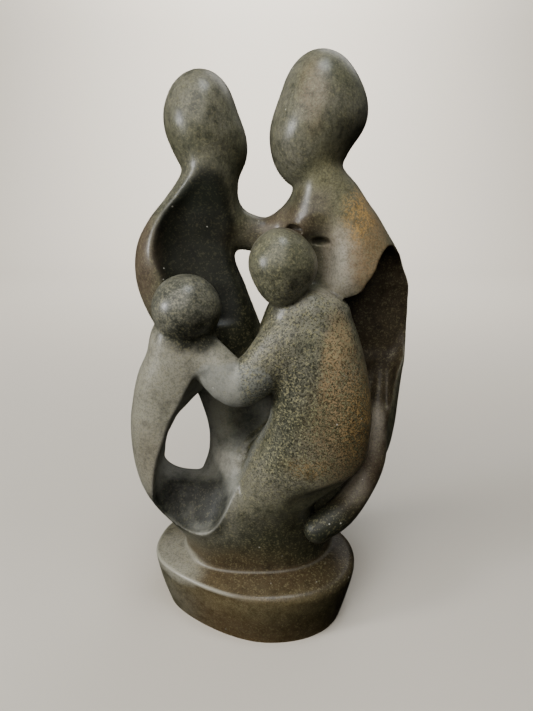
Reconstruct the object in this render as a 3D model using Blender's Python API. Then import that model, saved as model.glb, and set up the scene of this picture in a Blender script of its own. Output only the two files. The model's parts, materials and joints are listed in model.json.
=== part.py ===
"""A family of four carved from one block of green stone, standing on a pebble-shaped base of the same block.

Two tall parents stand side by side with plain egg-shaped heads, joined by an arm. Two children stand in front
of them with joined arms. The carving is laid out as a solid field: each mass adds stone, each hollow takes it
away, and the skin where the field is zero is drawn as the mesh.
"""

import math

import bmesh
import bpy
import numpy as np
import openvdb

# Driving sizes, in metres and radians
FIGURE_HEIGHT = 0.284  # from the foot line on the base to the crown of the taller head
BASE_WIDTH = 0.1275  # left to right at the rim
BASE_DEPTH = 0.0925  # front to back at the rim
BASE_HEIGHT = 0.036  # from the table to the rim
BASE_CROWN = 0.0035  # how far the base's top is domed above its rim
BASE_TAPER = 0.0075  # how far the flat underside lies inside the rim, at the ends
BASE_TURN = math.radians(11.0)  # how far the base's left end is turned away from the viewer
FIGURES_RIGHT = 0.0074  # how far the figures' middle stands to the right of the base's middle
FIGURES_BACK = 0.0014  # and how far behind it
FLAT_SIDE_REACH = 0.0500  # how far the flatter front left side lies from the base's middle
FLAT_SIDE_TURN = math.radians(56.0)  # which way that side faces, from straight left towards the viewer
RIM_ROUND = 0.0022  # rounding of the base's upper rim
FOOT_SINK = 0.012  # how deep the figures' foot is carried down into the base

# The carving is laid out on a maquette 320 units tall whose foot line is 36 units up, so that every pose,
# proportion and hollow of the figures is a share of their height. X runs to the right, Y away from the viewer
# and Z up.
MAQUETTE_TOP = 320.0
MAQUETTE_FOOT = 36.0
UNIT = FIGURE_HEIGHT / (MAQUETTE_TOP - MAQUETTE_FOOT)

CELL = 1.7 * UNIT  # spacing of the field's samples
MOST_TRIANGLES = 9200

STONE = {"name": "serpentine", "colour": (0.115, 0.118, 0.085, 1.0), "roughness": 0.38, "metallic": 0.0}


def joined(a, b, reach):
    """Both masses as one, with a fillet over the reach."""
    bend = np.maximum(reach - np.abs(a - b), 0.0) / reach
    return np.minimum(a, b) - bend * bend * reach * 0.25


def carved(a, b, reach):
    """Mass a without hollow b, with the edge rounded over the reach."""
    return -joined(-a, b, reach)


def common(a, b, reach):
    """Only what lies in both, with the edge rounded over the reach."""
    return -joined(-a, -b, reach)


def along(t, at, values):
    """A smooth curve through the values at the stations, level beyond its ends."""
    at = np.asarray(at, np.float32)
    values = np.asarray(values, np.float32)
    if at[0] > at[-1]:
        at, values = at[::-1], values[::-1]
    step = np.diff(at)
    slope = np.diff(values) / step
    tangent = np.empty_like(values)
    tangent[0], tangent[-1] = slope[0], slope[-1]
    tangent[1:-1] = (slope[:-1] * step[1:] + slope[1:] * step[:-1]) / (step[:-1] + step[1:])
    t = np.clip(t, at[0], at[-1])
    i = np.clip(np.searchsorted(at, t, side="right") - 1, 0, len(step) - 1)
    h = step[i]
    s = (t - at[i]) / h
    rise = values[i + 1] - values[i]
    a = tangent[i] * h
    b = tangent[i + 1] * h
    return values[i] + s * (a + s * ((3 * rise - 2 * a - b) + s * (a + b - 2 * rise)))


def oval(u, v, ru, rv, power):
    """Distance to an upright rounded section of half widths ru and rv."""
    ru = np.maximum(ru, 1e-3)
    rv = np.maximum(rv, 1e-3)
    a = np.abs(u) / ru + 1e-4
    b = np.abs(v) / rv + 1e-4
    g = (a**power + b**power) ** (1.0 / power)
    slope = g ** (1.0 - power) * np.hypot(a ** (power - 1.0) / ru, b ** (power - 1.0) / rv)
    return np.maximum((g - 1.0) / slope, -np.minimum(ru, rv))


def mass(p, levels, power=2.2, cap=4.0):
    """A standing mass. Each level gives its height, left, right, front and back."""
    x, y, z = p
    rows = np.array(levels, np.float32)
    left, right, front, back = (along(z, rows[:, 0], rows[:, i]) for i in (1, 2, 3, 4))
    side = oval(x - (left + right) / 2, y - (front + back) / 2, (right - left) / 2, (back - front) / 2, power)
    ends = np.maximum(z - rows[:, 0].max(), rows[:, 0].min() - z)
    return common(side, ends, cap)


def head(p, centre, radii, front, back):
    """A plain egg. Its outline from the front takes eight radii, from the right and upwards round."""
    dx, dy, dz = (p[i] - centre[i] for i in range(3))
    turn = np.arctan2(dz, dx)
    wave = np.fft.rfft(radii) / len(radii)
    rim = np.full_like(dx, wave[0].real)
    for k in range(1, len(wave)):
        share = 2.0 if k < len(radii) / 2 else 1.0
        rim = rim + share * (wave[k].real * np.cos(k * turn) - wave[k].imag * np.sin(k * turn))
    deep = np.where(dy < 0, front, back)
    across = np.hypot(dx, dz)
    g = np.hypot(across / rim, dy / deep)
    slope = np.hypot(across / rim**2, dy / deep**2) / np.maximum(g, 1e-3)
    return np.maximum((g - 1.0) / np.maximum(slope, 1e-4), -np.minimum(rim, deep))


def limb(p, path, flat=1.0):
    """A round arm along the path of (x, y, z, radius), squeezed front to back by flat."""
    x, y, z = p
    y = y / flat
    best = None
    points = bent(path)
    for a, b in zip(points[:-1], points[1:]):
        ab = b - a
        ab[1] /= flat
        dx, dy, dz = x - a[0], y - a[1] / flat, z - a[2]
        s = np.clip((dx * ab[0] + dy * ab[1] + dz * ab[2]) / (ab[0] ** 2 + ab[1] ** 2 + ab[2] ** 2), 0.0, 1.0)
        away = np.sqrt((dx - s * ab[0]) ** 2 + (dy - s * ab[1]) ** 2 + (dz - s * ab[2]) ** 2)
        near = away - (a[3] + s * ab[3])
        best = near if best is None else np.minimum(best, near)
    return best


def bent(path, pieces=4):
    """The path with more points between its own, on a smooth curve."""
    rows = np.array(path, np.float64)
    at = np.arange(len(rows), dtype=np.float64)
    fine = np.linspace(0, len(rows) - 1, (len(rows) - 1) * pieces + 1)
    return np.stack([along(fine, at, rows[:, i]) for i in range(4)], axis=1).astype(np.float64)


def ball(p, centre, radii):
    """An ellipsoid."""
    d = [(p[i] - centre[i]) / radii[i] for i in range(3)]
    g = np.sqrt(d[0] ** 2 + d[1] ** 2 + d[2] ** 2)
    slope = np.sqrt(sum((d[i] / radii[i]) ** 2 for i in range(3))) / np.maximum(g, 1e-3)
    return np.maximum((g - 1.0) / np.maximum(slope, 1e-4), -min(radii))


# The figures, in maquette units
TALL_HEAD = {
    "centre": (26.0, 2.0, 287.0),
    "radii": (24.0, 27.8, 32.8, 24.8, 23.8, 30.2, 32.0, 21.5),
}
LOW_HEAD = {
    "centre": (-31.0, 5.0, 285.0),
    "radii": (19.4, 20.0, 26.5, 24.2, 20.8, 21.7, 29.0, 27.2),
}
RIGHT_CHILD_HEAD = {
    "centre": (8.0, -25.0, 219.0),
    "radii": (17.3, 17.4, 19.0, 18.3, 17.0, 17.2, 20.0, 17.2),
}
LEFT_CHILD_HEAD = {
    "centre": (-41.0, -22.0, 197.0),
    "radii": (17.8,) * 8,
}

# height, left, right, front, back
LOW_PARENT = [
    (276, -42, -16, -13, 18),
    (264, -43.5, -14.5, -15, 20),
    (252, -52, -15, -15, 23),
    (240, -62.5, -16, -15, 26),
    (228, -69.5, -18, -15, 28),
    (217, -72, -17, -15, 29),
    (205, -72, -12.5, -14, 30),
    (190, -68, -7, -12, 30),
    (175, -61, -1, -10, 30),
    (158, -52, 10, -6, 30),
    (141, -44, 20, -1, 30),
    (126, -39, 27, 1, 30),
    (110, -36, 31, 2, 30),
    (95, -37, 32, 1, 31),
    (80, -42, 30, 0, 32),
    (60, -46, 20, -4, 34),
    (30, -46, 20, -4, 34),
]
TALL_PARENT = [
    (278, 17, 40, -17, 16),
    (266, 15, 39, -17, 18),
    (257, 14, 47, -17, 21),
    (249, 11.5, 53, -18, 23),
    (242, 9, 58.5, -19, 25),
    (233, 8, 64.5, -20, 27),
    (223, 8, 71, -22, 29),
    (214, 8, 76.5, -23, 30),
    (205, 8, 81, -22, 31),
    (192, 8, 83, -20, 31),
    (175, 9, 82.5, -16, 31),
    (158, 10, 80.5, -12, 31),
    (134, 10, 79.5, -9, 31),
    (115, 8, 78.5, -8, 31),
    (98, 5, 75.5, -7, 32),
    (83, 2, 68, -6, 33),
    (68, 0, 57, -6, 34),
    (52, 0, 47, -6, 34),
    (30, 0, 42, -6, 34),
]
RIGHT_CHILD = [
    (207, 8, 30, -30, 0),
    (200, 2, 41, -34, 2),
    (191, -2, 45, -36, 4),
    (178, -5, 50, -39, 6),
    (158, 1, 55, -42, 8),
    (146, 2, 57, -43, 8),
    (134, 0, 58, -43, 8),
    (122, -5, 57.5, -42, 8),
    (112, -10, 56.5, -41, 8),
    (104, -13, 53.5, -40, 8),
    (97, -16, 47.5, -38, 8),
    (90, -19, 38, -36, 8),
    (82, -23, 30, -34, 8),
    (70, -30, 28, -31, 8),
    (52, -42, 30, -28, 8),
    (30, -42, 30, -25, 8),
]
LEFT_CHILD = [
    (196, -54, -30, -32, 2),
    (184, -61, -28, -34, 6),
    (173, -64, -26, -35, 8),
    (160, -70, -24, -35, 10),
    (148, -73.5, -24, -34, 12),
    (133, -76.5, -24, -33, 14),
    (118, -77.5, -24, -32, 16),
    (103, -76.8, -20, -31, 18),
    (90, -74.5, -10, -31, 22),
    (78, -69.5, 0, -31, 27),
    (66, -61, 10, -30, 30),
    (54, -53.5, 20, -28, 33),
    (44, -49.5, 32, -26.5, 35),
    (30, -48.5, 38, -25.5, 36),
]
FOOT = [
    (60, -46, 34, -27, 34),
    (46, -50, 38, -26.5, 35.5),
    (36, -52, 42, -26, 36),
    (20, -52, 42, -26, 36),
]

# The opening between the children: height, left and right at its front
OPENING = [
    (170, -34, -2),
    (164, -37, 2),
    (158, -40.5, 2.5),
    (148, -45.5, 2.5),
    (138, -51, 1.5),
    (127, -55, -2.5),
    (114, -59.5, -9),
    (104, -62, -13),
    (92, -64, -18.5),
    (80, -64, -24),
    (72, -58, -28.5),
    (65, -46, -34),
]
OPENING_CLIMB = 19.5  # how far its floor has climbed, and its ceiling come down, at its neck
OPENING_STEP = (-25.0, -3.0)  # where that climb starts and where it reaches the level neck
OPENING_NECK = (6.0, 8.0)  # where the neck ends, and how gently floor and ceiling turn back there
OPENING_FALL = 0.80  # how fast they part again behind it
OPENING_TILT = 0.20  # how much the neck rises towards the right
OPENING_MIDDLE = -48.0  # and where it is neither raised nor lowered by that

# The hollow front of the lower parent, behind a ridge on its left: height, left, depth
DISH = [
    (270, -38, -17),
    (262, -42, -14),
    (251, -49, -9.5),
    (245, -53.5, -7),
    (238, -56.5, -5),
    (230, -58, -3.5),
    (222, -58, -3),
    (213, -55, -3),
    (200, -50, -4),
    (186, -46, -7),
]

# The hollow under the taller parent's arm: height, left, right, depth of its back wall
SHELL = [
    (227, 61.5, 66, 2),
    (222, 57.5, 70, 4),
    (216, 55, 77, 6),
    (210, 51, 86, 8),
    (204, 46, 96, 9),
    (200, 34, 98, 10),
    (190, 26, 94, 11),
    (180, 26, 86.5, 11),
    (172, 26, 82.2, 11),
    (165, 26, 79.4, 11),
    (159, 26, 76.8, 10),
    (151, 26, 74.4, 10),
    (140, 26, 73, 7),
    (130, 25, 72, 3),
    (120, 24, 71, -2),
    (108, 22, 69, -6),
    (94, 20, 66, -9),
    (80, 20, 58, -10),
    (66, 20, 46, -12),
]
# The hooked lower end of that back, which wraps round the right child, and how deep the child's flank is cut
# away above it: x, y, z and thickness along each
HOOK = [
    (68.2, 12.5, 155, 1.4),
    (67.3, 8.5, 145.5, 2.4),
    (66, 4, 136, 3.5),
    (65.5, 0.5, 127, 5.0),
    (65, -2.5, 118, 6.3),
    (64.3, -4.8, 109, 7.2),
    (62.3, -6.8, 99, 7.8),
    (57.5, -10, 88.5, 8.0),
    (50, -15, 78.5, 8.4),
    (40.9, -20.5, 71.7, 8.8),
    (29.9, -24, 65.2, 8.2),
]
UNDERCUT = [
    (58, -20, 108, 3.0),
    (50, -27, 100.5, 4.5),
    (41, -33.5, 95.5, 6.0),
    (31, -38, 91.5, 7.0),
    (19, -41.5, 87, 8.0),
]

# The valley between the right child's head and the taller parent's chest, and the two pits at its top
CHEST_VALLEY = {"centre": (23.5, -31.0, 218.0), "radii": (13.0, 23.0, 25.0)}
PITS = [
    {"centre": (14.0, -9.0, 235.5), "radii": (5.2, 7.0, 2.6)},
    {"centre": (27.0, -15.0, 229.8), "radii": (5.0, 8.0, 2.4)},
]

# x, y, z and thickness along each arm
PARENT_ARM = [
    (-30, 6, 243, 11),
    (-14, 8, 234, 10),
    (1, 8, 231, 9.6),
    (16, 6, 237, 11),
]
CHILD_ARMS = [
    (-42, -20, 182, 11),
    (-31, -25, 171, 11.5),
    (-16, -28, 158, 12.5),
    (-4, -29, 165, 12.5),
    (8, -27, 178, 14),
]

# Where the bowl's inner corner is filled out to a wide round, how far that spreads, and how wide it gets
BOWL_FILLET = {"centre": (-20.0, 2.0, 97.0), "spread": (22.0, 14.0, 17.0), "reach": 16.0}
# Where the bowl's right edge is worn round behind, how far that spreads, and how round it gets
BOWL_CORNER = {"centre": (-17.0, 0.0, 104.0), "spread": (9.0, 9.0, 9.0), "reach": 9.0}


def figures(p):
    """The four figures and their foot."""
    x, y, z = p
    children = joined(mass(p, RIGHT_CHILD, 2.3), mass(p, LEFT_CHILD, 2.5), 8.0)
    children = joined(children, mass(p, FOOT, 2.2), 6.0)
    children = carved(children, opening(p), 1.6 + widened(p, **BOWL_CORNER))
    children = carved(children, limb(p, UNDERCUT), 5.0)
    children = joined(children, limb(p, CHILD_ARMS, 0.8), 4.0)

    tall = carved(mass(p, TALL_PARENT, 2.2), ball(p, **CHEST_VALLEY), 6.0)
    tall = carved(tall, shell(p), np.clip(1.4 + (x - 66) * 0.22, 1.4, 4.0))
    for pit in PITS:
        tall = carved(tall, ball(p, **pit), 1.0)
    low = mass(p, LOW_PARENT, 2.2)
    low = carved(low, dish(p), 3.5)
    parents = joined(low, limb(p, PARENT_ARM, 0.9), 7.0)
    parents = joined(parents, tall, 6.0)

    group = joined(parents, children, 2.5 + widened(p, **BOWL_FILLET))
    group = np.minimum(group, joined(tall, limb(p, HOOK), 4.0))
    group = joined(group, head(p, **TALL_HEAD, front=24, back=24), 1.6)
    group = joined(group, head(p, **LOW_HEAD, front=21, back=22), 3.0)
    group = joined(group, head(p, **RIGHT_CHILD_HEAD, front=17, back=17), 1.6)
    return joined(group, head(p, **LEFT_CHILD_HEAD, front=17.5, back=17.5), 1.4)


def widened(p, centre, spread, reach):
    """How much wider a round is near this centre."""
    far = sum(((p[i] - centre[i]) / spread[i]) ** 2 for i in range(3))
    return reach * np.exp(-far)


def opening(p):
    """The scooped bowl between the children, and the hole that goes on through the back."""
    x, y, z = p
    rows = np.array(OPENING, np.float32)
    low, high = rows[-1, 0], rows[0, 0]
    start, level = OPENING_STEP
    middle, soft = OPENING_NECK
    step = np.clip((y - start) / (level - start), 0.0, 1.0)
    climb = (OPENING_CLIMB + OPENING_TILT * (x - OPENING_MIDDLE)) * step * step * (3.0 - 2.0 * step)
    shift = climb - OPENING_FALL * (np.hypot(np.maximum(y - middle, 0.0), soft) - soft)
    tall = np.maximum(high - low - 2 * shift, 20.0)
    height = low + (z - (low + shift)) * (high - low) / tall
    left, right = along(height, rows[:, 0], rows[:, 1]), along(height, rows[:, 0], rows[:, 2])
    side = np.maximum(left - x, x - right)
    ends = np.maximum(height - high, low - height)
    return common(side, ends, 6.0)


def dish(p):
    """The shallow hollow front of the lower parent."""
    x, y, z = p
    rows = np.array(DISH, np.float32)
    left, deep = along(z, rows[:, 0], rows[:, 1]), along(z, rows[:, 0], rows[:, 2])
    ends = np.maximum(z - rows[0, 0], rows[-1, 0] - z)
    return common(common(left - x, y - deep, 14.0), ends, 3.0)


def shell(p):
    """The long hollow between the right child and the shell-shaped back of the taller parent."""
    x, y, z = p
    rows = np.array(SHELL, np.float32)
    left, right, deep = (along(z, rows[:, 0], rows[:, i]) for i in (1, 2, 3))
    side = np.maximum(left - x, x - right)
    ends = np.maximum(z - rows[0, 0], rows[-1, 0] - z)
    return common(common(side, y - deep, 8.0), ends, 2.0)


def base(p):
    """A flat pebble: an oval that swells up to its rim, with a domed top."""
    x, y, z = p
    c, s = math.cos(BASE_TURN), math.sin(BASE_TURN)
    u, v = x * c - y * s, x * s + y * c
    inside = BASE_TAPER * np.maximum(1.0 - np.maximum(z, 0.0) / BASE_HEIGHT, 0.0) ** 1.4
    side = oval(u, v, BASE_WIDTH / 2 - inside, BASE_DEPTH / 2 - inside * 0.7, 2.2)
    flat = -x * math.cos(FLAT_SIDE_TURN) - y * math.sin(FLAT_SIDE_TURN) - FLAT_SIDE_REACH + inside
    side = common(side, flat, 0.012)
    spread = (2 * u / BASE_WIDTH) ** 2 + (2 * v / BASE_DEPTH) ** 2
    top = z - BASE_HEIGHT - BASE_CROWN * (1.0 - spread)
    return common(side, top, RIM_ROUND * 2.5)


def stone(p):
    """The whole block: the figures, sunk into the base along a crisp foot line. Metres."""
    x, y, z = p
    placed = ((x - FIGURES_RIGHT) / UNIT, (y - FIGURES_BACK) / UNIT, (z - BASE_HEIGHT) / UNIT + MAQUETTE_FOOT)
    carving = np.maximum(figures(placed) * UNIT, BASE_HEIGHT - FOOT_SINK - z)
    return joined(carving, base(p), 0.0008)


def skin(cell):
    """Points and faces of the surface where the field is zero, drawn on cells of this size."""
    across, deep = 0.55 * BASE_WIDTH, 0.60 * BASE_DEPTH
    low = np.array([
        min(FIGURES_RIGHT - 84 * UNIT, -across),
        min(FIGURES_BACK - 50 * UNIT, -deep),
        -4 * cell,
    ])
    high = np.array([
        max(FIGURES_RIGHT + 88 * UNIT, across),
        max(FIGURES_BACK + 42 * UNIT, deep),
        BASE_HEIGHT + FIGURE_HEIGHT + 4 * cell,
    ])
    count = np.ceil((high - low) / cell).astype(int) + 1
    axes = [low[i] + cell * np.arange(count[i]) for i in range(3)]
    grid = np.meshgrid(*[a.astype(np.float32) for a in axes], indexing="ij")
    values = stone([g.ravel() for g in grid]).reshape(count)
    volume = openvdb.FloatGrid(float(4 * cell))
    volume.copyFromArray(np.clip(values, -4 * cell, 4 * cell).astype(np.float32))
    points, quads = volume.convertToQuads(0.0)
    points = points.astype(np.float64) * cell + low
    return on_skin(points, cell), quads


def on_skin(points, cell):
    """The points moved along the field's slope until they lie on the surface."""
    small = 0.05 * cell
    for _ in range(2):
        p = [points[:, i] for i in range(3)]
        value = stone(p)
        slope = np.empty_like(points)
        for i in range(3):
            ahead = list(p)
            ahead[i] = p[i] + small
            slope[:, i] = (stone(ahead) - value) / small
        steep = np.maximum((slope**2).sum(axis=1), 0.05)
        move = slope * (value / steep)[:, None]
        length = np.linalg.norm(move, axis=1, keepdims=True)
        points = points - move * np.minimum(1.0, 0.4 * cell / np.maximum(length, 1e-12))
    return points


def stone_material():
    material = bpy.data.materials.new(STONE["name"])
    material.use_nodes = True
    shader = material.node_tree.nodes["Principled BSDF"]
    shader.inputs["Base Color"].default_value = STONE["colour"]
    shader.inputs["Roughness"].default_value = STONE["roughness"]
    shader.inputs["Metallic"].default_value = STONE["metallic"]
    return material


def clear_scene():
    for item in list(bpy.data.objects):
        bpy.data.objects.remove(item, do_unlink=True)


def collection(name):
    made = bpy.data.collections.new(name)
    bpy.context.scene.collection.children.link(made)
    return made


def table_cutter(group):
    """A block below the table, which saws the underside flat."""
    bpy.ops.mesh.primitive_cube_add(size=1.0)
    cutter = bpy.context.object
    cutter.name = "underside_cut"
    cutter.dimensions = (3 * BASE_WIDTH, 3 * BASE_DEPTH, BASE_HEIGHT)
    cutter.location = (0.0, 0.0, -BASE_HEIGHT / 2)
    cutter.hide_render = True
    cutter.display_type = "WIRE"
    for old in list(cutter.users_collection):
        old.objects.unlink(cutter)
    group.objects.link(cutter)
    return cutter


def carving_object(group, cutter):
    points, quads = skin(CELL)
    mesh = bpy.data.meshes.new("family_group")
    mesh.from_pydata(points.tolist(), [], quads.tolist())
    mesh.update()
    shaped = bmesh.new()
    shaped.from_mesh(mesh)
    bmesh.ops.triangulate(shaped, faces=shaped.faces)
    bmesh.ops.recalc_face_normals(shaped, faces=shaped.faces)
    count = len(shaped.faces)
    shaped.to_mesh(mesh)
    shaped.free()
    mesh.materials.append(stone_material())
    mesh.shade_smooth()
    made = bpy.data.objects.new("family_group", mesh)
    group.objects.link(made)
    fewer = made.modifiers.new("fewer_faces", "DECIMATE")
    fewer.ratio = min(1.0, MOST_TRIANGLES / count)
    flat = made.modifiers.new("flat_underside", "BOOLEAN")
    flat.operation = "DIFFERENCE"
    flat.solver = "EXACT"
    flat.object = cutter
    return made


def main():
    clear_scene()
    parts = collection("family_group_carving")
    cutters = collection("cutters")
    carving_object(parts, table_cutter(cutters))


if __name__ == "__main__":
    main()
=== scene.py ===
"""The looks of the family group carving: figures and base, cut from one block of green serpentine.

The stone is laid out as a solid field, as a carver roughs out a block: every mass adds stone and every
hollow takes it away. The skin where the field is zero becomes one fine mesh. A Geometry Nodes tree gives it
the slight unevenness of hand polishing. Marks worked out from the same field tell the finish which figure,
hollow or edge a point is on.
"""

import json
import logging
import math
from dataclasses import dataclass, field
from enum import Enum

import bmesh
import bpy
import numpy as np
import openvdb
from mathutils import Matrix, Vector

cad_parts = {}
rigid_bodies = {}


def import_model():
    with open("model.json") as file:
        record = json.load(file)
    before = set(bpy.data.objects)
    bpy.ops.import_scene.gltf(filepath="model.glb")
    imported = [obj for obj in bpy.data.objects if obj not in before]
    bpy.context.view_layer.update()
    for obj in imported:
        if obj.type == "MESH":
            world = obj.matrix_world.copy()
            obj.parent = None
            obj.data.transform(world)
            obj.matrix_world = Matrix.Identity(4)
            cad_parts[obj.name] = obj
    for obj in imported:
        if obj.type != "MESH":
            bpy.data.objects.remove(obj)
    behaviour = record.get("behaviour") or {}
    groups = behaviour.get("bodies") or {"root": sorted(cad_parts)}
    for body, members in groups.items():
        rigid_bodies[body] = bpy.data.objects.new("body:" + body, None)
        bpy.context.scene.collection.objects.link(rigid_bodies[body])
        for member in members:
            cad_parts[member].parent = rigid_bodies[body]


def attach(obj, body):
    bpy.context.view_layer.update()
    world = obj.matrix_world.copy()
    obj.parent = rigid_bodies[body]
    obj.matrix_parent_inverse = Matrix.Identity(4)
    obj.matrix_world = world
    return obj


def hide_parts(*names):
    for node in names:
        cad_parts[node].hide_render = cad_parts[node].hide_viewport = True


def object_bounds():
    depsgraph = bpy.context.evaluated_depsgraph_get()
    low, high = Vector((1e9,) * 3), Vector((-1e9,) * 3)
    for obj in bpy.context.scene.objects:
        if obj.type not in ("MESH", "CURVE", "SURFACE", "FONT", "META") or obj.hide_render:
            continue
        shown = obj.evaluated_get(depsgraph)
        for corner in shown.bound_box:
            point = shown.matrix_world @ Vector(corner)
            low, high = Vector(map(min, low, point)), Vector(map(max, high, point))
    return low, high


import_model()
CAD_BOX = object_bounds()

Array = np.ndarray
Points = tuple[Array, Array, Array]
Vec = tuple[float, float, float]
Span = tuple[float, float]
Rows = tuple[tuple[float, ...], ...]
Colour = tuple[float, float, float, float]
Socket = bpy.types.NodeSocket

LOG = logging.getLogger("family_group")


def joined(a: Array, b: Array, reach: Array | float) -> Array:
    """Both masses as one, with a fillet between them.

    Args:
        a: Distances to one mass.
        b: Distances to the other.
        reach: How far the fillet spreads.

    Returns:
        Distances to the joined mass.
    """
    bend = np.maximum(reach - np.abs(a - b), 0.0) / reach
    return np.minimum(a, b) - bend * bend * reach * 0.25


def carved(a: Array, b: Array, reach: Array | float) -> Array:
    """Mass a without hollow b.

    Args:
        a: Distances to the mass.
        b: Distances to the hollow.
        reach: How far the hollow's edge is rounded.

    Returns:
        Distances to what is left.
    """
    return -joined(-a, b, reach)


def common(a: Array, b: Array, reach: Array | float) -> Array:
    """What lies in both masses.

    Args:
        a: Distances to one mass.
        b: Distances to the other.
        reach: How far the edge between them is rounded.

    Returns:
        Distances to the common mass.
    """
    return -joined(-a, -b, reach)


def along(t: Array, at: Array, values: Array) -> Array:
    """A smooth curve through values at stations, level beyond its ends.

    Args:
        t: Where the curve is read.
        at: The stations, rising or falling.
        values: The curve's values there.

    Returns:
        The curve's values at t.
    """
    at = np.asarray(at, np.float32)
    values = np.asarray(values, np.float32)
    if at[0] > at[-1]:
        at, values = at[::-1], values[::-1]
    step = np.diff(at)
    slope = np.diff(values) / step
    tangent = np.empty_like(values)
    tangent[0], tangent[-1] = slope[0], slope[-1]
    tangent[1:-1] = (slope[:-1] * step[1:] + slope[1:] * step[:-1]) / (step[:-1] + step[1:])
    t = np.clip(t, at[0], at[-1])
    i = np.clip(np.searchsorted(at, t, side="right") - 1, 0, len(step) - 1)
    h = step[i]
    s = (t - at[i]) / h
    rise = values[i + 1] - values[i]
    a = tangent[i] * h
    b = tangent[i + 1] * h
    return values[i] + s * (a + s * ((3 * rise - 2 * a - b) + s * (a + b - 2 * rise)))


def oval(u: Array, v: Array, ru: Array | float, rv: Array | float, power: float) -> Array:
    """Distance to an upright rounded section.

    Args:
        u: Offset from its axis, across.
        v: Offset from its axis, deep.
        ru: Half width.
        rv: Half depth.
        power: 2 for an ellipse, more for a squarer section.

    Returns:
        Distances, negative inside.
    """
    ru = np.maximum(ru, 1e-3)
    rv = np.maximum(rv, 1e-3)
    a = np.abs(u) / ru + 1e-4
    b = np.abs(v) / rv + 1e-4
    g = (a**power + b**power) ** (1.0 / power)
    slope = g ** (1.0 - power) * np.hypot(a ** (power - 1.0) / ru, b ** (power - 1.0) / rv)
    return np.maximum((g - 1.0) / slope, -np.minimum(ru, rv))


def smooth_step(low: float, high: float, value: Array) -> Array:
    """Rises smoothly from 0 at low to 1 at high.

    Args:
        low: Where it leaves 0.
        high: Where it reaches 1.
        value: Where it is read.

    Returns:
        Shares from 0 to 1.
    """
    t = np.clip((value - low) / (high - low), 0.0, 1.0)
    return t * t * (3.0 - 2.0 * t)


@dataclass(frozen=True)
class StandingMass:
    """A standing mass. Each level gives its height, left, right, front and back, in maquette units."""

    levels: Rows
    power: float = 2.2
    cap: float = 4.0

    def distance(self, p: Points) -> Array:
        """Distances of points p to the mass."""
        x, y, z = p
        rows = np.array(self.levels, np.float32)
        left, right, front, back = (along(z, rows[:, 0], rows[:, i]) for i in (1, 2, 3, 4))
        side = oval(
            x - (left + right) / 2,
            y - (front + back) / 2,
            (right - left) / 2,
            (back - front) / 2,
            self.power,
        )
        ends = np.maximum(z - rows[:, 0].max(), rows[:, 0].min() - z)
        return common(side, ends, self.cap)


@dataclass(frozen=True)
class PlainHead:
    """A plain egg. Its outline from the front takes eight radii, from the right and upwards round.

    Neck is how far the fillet under it spreads.
    """

    centre: Vec
    radii: tuple[float, ...]
    front: float
    back: float
    neck: float

    def distance(self, p: Points) -> Array:
        """Distances of points p to the egg."""
        dx, dy, dz = (p[i] - self.centre[i] for i in range(3))
        turn = np.arctan2(dz, dx)
        wave = np.fft.rfft(self.radii) / len(self.radii)
        rim = np.full_like(dx, wave[0].real)
        for k in range(1, len(wave)):
            share = 2.0 if k < len(self.radii) / 2 else 1.0
            rim = rim + share * (wave[k].real * np.cos(k * turn) - wave[k].imag * np.sin(k * turn))
        deep = np.where(dy < 0, self.front, self.back)
        across = np.hypot(dx, dz)
        g = np.hypot(across / rim, dy / deep)
        slope = np.hypot(across / rim**2, dy / deep**2) / np.maximum(g, 1e-3)
        return np.maximum((g - 1.0) / np.maximum(slope, 1e-4), -np.minimum(rim, deep))


@dataclass(frozen=True)
class RoundArm:
    """A round arm along a path of x, y, z and thickness, squeezed front to back by flat."""

    path: Rows
    flat: float = 1.0
    pieces: int = 4

    def bent(self) -> Array:
        """The path with more points between its own, on a smooth curve."""
        rows = np.array(self.path, np.float64)
        at = np.arange(len(rows), dtype=np.float64)
        fine = np.linspace(0, len(rows) - 1, (len(rows) - 1) * self.pieces + 1)
        return np.stack([along(fine, at, rows[:, i]) for i in range(4)], axis=1).astype(np.float64)

    def distance(self, p: Points) -> Array:
        """Distances of points p to the arm."""
        x, y, z = p
        y = y / self.flat
        best = np.full_like(x, 1e6)
        points = self.bent()
        for a, b in zip(points[:-1], points[1:]):
            ab = b - a
            ab[1] /= self.flat
            dx, dy, dz = x - a[0], y - a[1] / self.flat, z - a[2]
            reach = ab[0] ** 2 + ab[1] ** 2 + ab[2] ** 2
            s = np.clip((dx * ab[0] + dy * ab[1] + dz * ab[2]) / reach, 0.0, 1.0)
            away = np.sqrt((dx - s * ab[0]) ** 2 + (dy - s * ab[1]) ** 2 + (dz - s * ab[2]) ** 2)
            best = np.minimum(best, away - (a[3] + s * ab[3]))
        return best


@dataclass(frozen=True)
class Pocket:
    """An ellipsoid, which scoops a round pocket out of a mass."""

    centre: Vec
    radii: Vec

    def distance(self, p: Points) -> Array:
        """Distances of points p to the ellipsoid."""
        d = [(p[i] - self.centre[i]) / self.radii[i] for i in range(3)]
        g = np.sqrt(d[0] ** 2 + d[1] ** 2 + d[2] ** 2)
        slope = np.sqrt(sum((d[i] / self.radii[i]) ** 2 for i in range(3))) / np.maximum(g, 1e-3)
        return np.maximum((g - 1.0) / np.maximum(slope, 1e-4), -min(self.radii))


@dataclass(frozen=True)
class WideRound:
    """A place where a fillet or a rounded edge is wider than elsewhere."""

    centre: Vec
    spread: Vec
    reach: float

    def extra(self, p: Points) -> Array:
        """How much wider the round is at points p."""
        far = sum(((p[i] - self.centre[i]) / self.spread[i]) ** 2 for i in range(3))
        return self.reach * np.exp(-far)


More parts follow.
